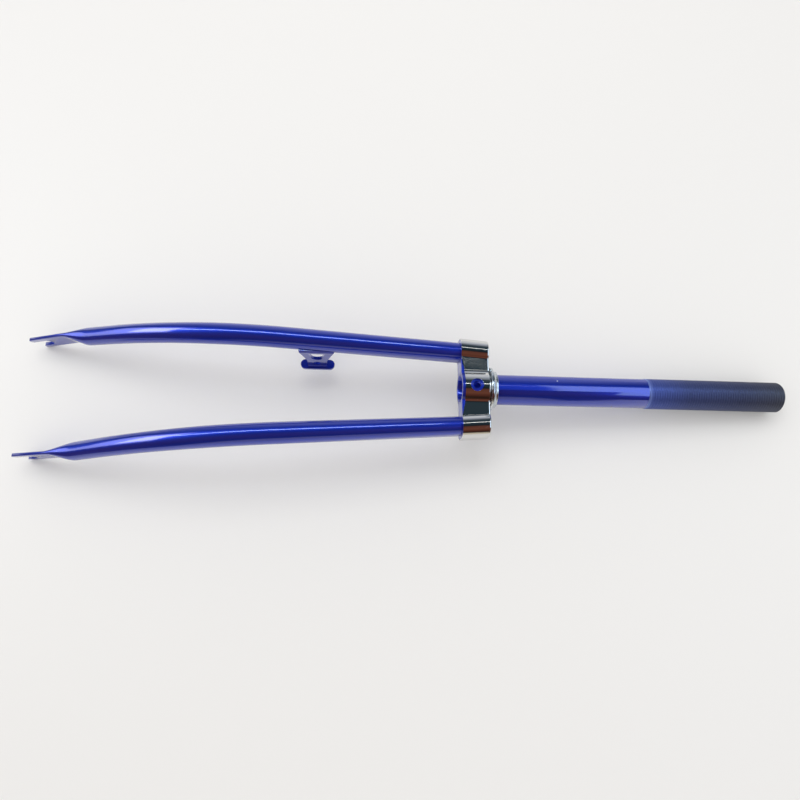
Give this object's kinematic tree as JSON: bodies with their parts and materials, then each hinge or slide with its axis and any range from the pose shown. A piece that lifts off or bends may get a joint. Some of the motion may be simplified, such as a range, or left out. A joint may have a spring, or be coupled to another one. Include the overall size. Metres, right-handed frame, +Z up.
{
  "type": "bicycle fork",
  "caption": "Steel city bicycle fork with a long threaded steerer, chromed crown cover, raked blades with slotted ends and a dynamo bracket.",
  "frame": {"origin": "On the resting surface, under the middle of the fork's length, on its plane of symmetry", "axes": "+X towards the threaded end of the steerer, +Y to the rider's left, +Z up; the fork lies with its rear side up"},
  "size_m": [0.6518, 0.1158, 0.0647],
  "materials": {
    "blue_paint": "gloss metallic",
    "chrome": "polished",
    "zinc": "zinc plated"
  },
  "bodies": {
    "root": {"steerer_tube": "blue_paint", "fork_crown": "blue_paint", "crown_cover": "chrome", "bearing_race": "zinc", "left_blade": "blue_paint", "right_blade": "blue_paint", "dynamo_bracket": "blue_paint"}
  },
  "joints": []
}
